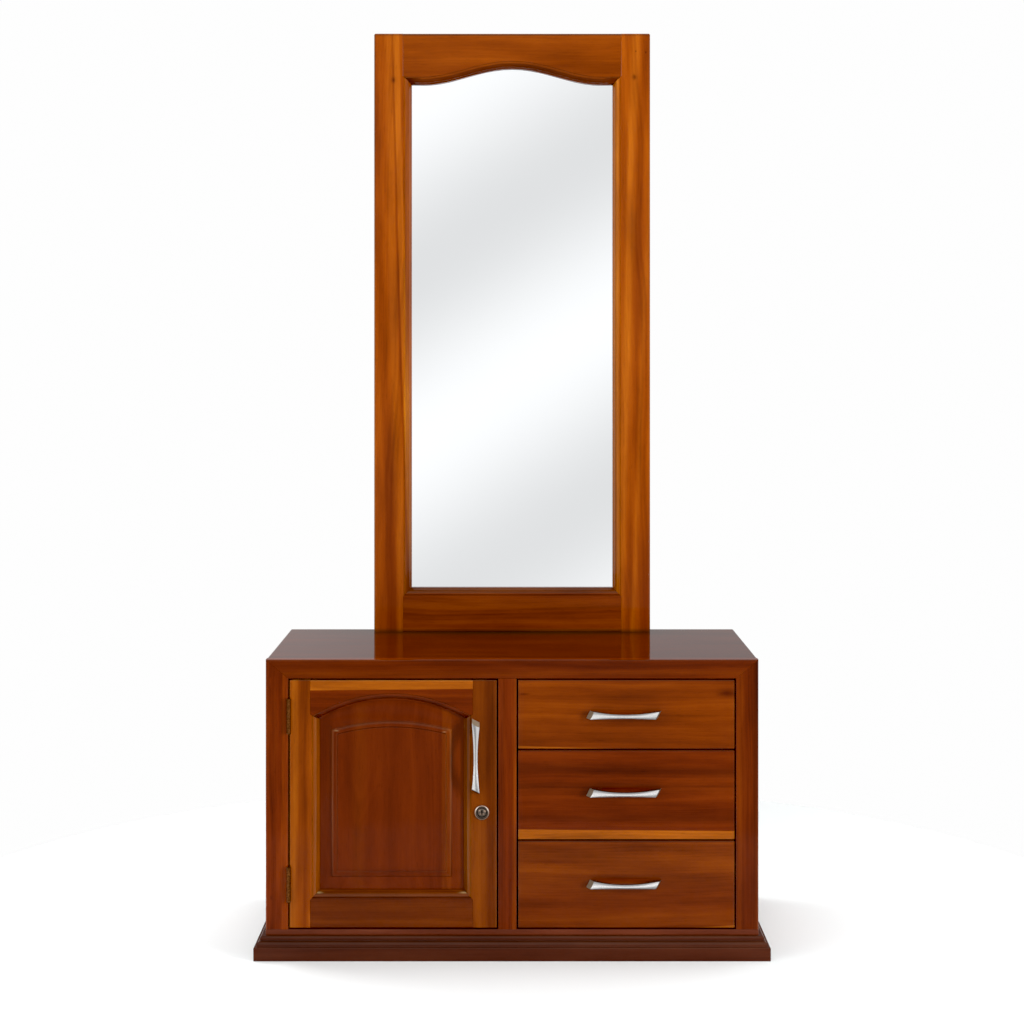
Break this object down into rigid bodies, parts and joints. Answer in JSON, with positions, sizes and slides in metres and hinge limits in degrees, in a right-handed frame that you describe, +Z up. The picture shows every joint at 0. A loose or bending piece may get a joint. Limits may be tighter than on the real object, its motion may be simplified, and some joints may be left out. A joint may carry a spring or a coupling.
{
  "type": "dresser with mirror",
  "caption": "Low wooden dresser with an arched raised-panel door, a stack of drawers, a moulded plinth and a tall framed mirror standing on its top.",
  "frame": {"origin": "on the floor under the middle of the overall box: midway between the plinth's ends, and midway from the pulls' front to the back batten", "axes": "+X to the right as seen from the front, +Y from the front to the back, +Z up"},
  "size_m": [0.954, 0.451, 1.7775],
  "materials": {
    "case_wood": "red-brown stain under clear gloss varnish",
    "amber_wood": "amber stain under clear gloss varnish",
    "orange_wood": "orange-brown stain under clear gloss varnish",
    "plinth_wood": "dark red-brown stain under clear gloss varnish",
    "drawer_wood": "pale, sanded, unvarnished",
    "plywood": "thin plywood, matt",
    "mirror": "silvered glass",
    "pull_metal": "satin",
    "lock_metal": "polished",
    "hinge_metal": "aged"
  },
  "bodies": {
    "carcass": {"cabinet_top": "case_wood", "left_side_panel": "case_wood", "right_side_panel": "case_wood", "bottom_board": "case_wood", "centre_partition": "drawer_wood", "back_panel": "plywood", "frame_left_stile": "case_wood", "frame_right_stile": "case_wood", "frame_top_rail": "case_wood", "frame_centre_mullion": "case_wood", "plinth_front": "plinth_wood", "plinth_left": "plinth_wood", "plinth_right": "plinth_wood", "plinth_back": "plinth_wood", "top_drawer_left_runner": "drawer_wood", "top_drawer_right_runner": "drawer_wood", "middle_drawer_left_runner": "drawer_wood", "middle_drawer_right_runner": "drawer_wood", "bottom_drawer_left_runner": "drawer_wood", "bottom_drawer_right_runner": "drawer_wood", "mirror_left_stile": "amber_wood", "mirror_right_stile": "amber_wood", "mirror_top_rail": "amber_wood", "mirror_bottom_rail": "orange_wood", "mirror_glass": "mirror", "mirror_backboard": "plywood", "mirror_batten": "drawer_wood", "upper_hinge_frame_leaf": "hinge_metal", "upper_hinge_pin": "hinge_metal", "lower_hinge_frame_leaf": "hinge_metal", "lower_hinge_pin": "hinge_metal"},
    "door": {"door_hinge_stile": "amber_wood", "door_lock_stile": "amber_wood", "door_top_rail": "orange_wood", "door_bottom_rail": "orange_wood", "door_panel": "case_wood", "door_handle": "pull_metal", "lock_body": "lock_metal", "upper_hinge_door_leaf": "hinge_metal", "lower_hinge_door_leaf": "hinge_metal"},
    "lock_plug": {"lock_cylinder": "lock_metal", "lock_cam": "lock_metal"},
    "top_drawer": {"top_drawer_front": "orange_wood", "top_drawer_left_side": "drawer_wood", "top_drawer_right_side": "drawer_wood", "top_drawer_back": "drawer_wood", "top_drawer_bottom": "plywood", "top_drawer_handle": "pull_metal"},
    "middle_drawer": {"middle_drawer_front": "orange_wood", "middle_drawer_left_side": "drawer_wood", "middle_drawer_right_side": "drawer_wood", "middle_drawer_back": "drawer_wood", "middle_drawer_bottom": "plywood", "middle_drawer_handle": "pull_metal"},
    "bottom_drawer": {"bottom_drawer_front": "orange_wood", "bottom_drawer_left_side": "drawer_wood", "bottom_drawer_right_side": "drawer_wood", "bottom_drawer_back": "drawer_wood", "bottom_drawer_bottom": "plywood", "bottom_drawer_handle": "pull_metal"}
  },
  "joints": [
    {"name": "door_swing", "type": "hinge", "parent": "carcass", "child": "door", "pos_m": [-0.41375, -0.2027, 0.285], "axis": [0, 0, -1], "range_deg": [0, 170]},
    {"name": "lock_turn", "type": "hinge", "parent": "door", "child": "lock_plug", "pos_m": [-0.0559, -0.1885, 0.27], "axis": [0, -1, 0], "range_deg": [0, 90]},
    {"name": "top_drawer_slide", "type": "slide", "parent": "carcass", "child": "top_drawer", "axis": [0, -1, 0], "range_m": [0, 0.28]},
    {"name": "middle_drawer_slide", "type": "slide", "parent": "carcass", "child": "middle_drawer", "axis": [0, -1, 0], "range_m": [0, 0.28]},
    {"name": "bottom_drawer_slide", "type": "slide", "parent": "carcass", "child": "bottom_drawer", "axis": [0, -1, 0], "range_m": [0, 0.28]}
  ]
}
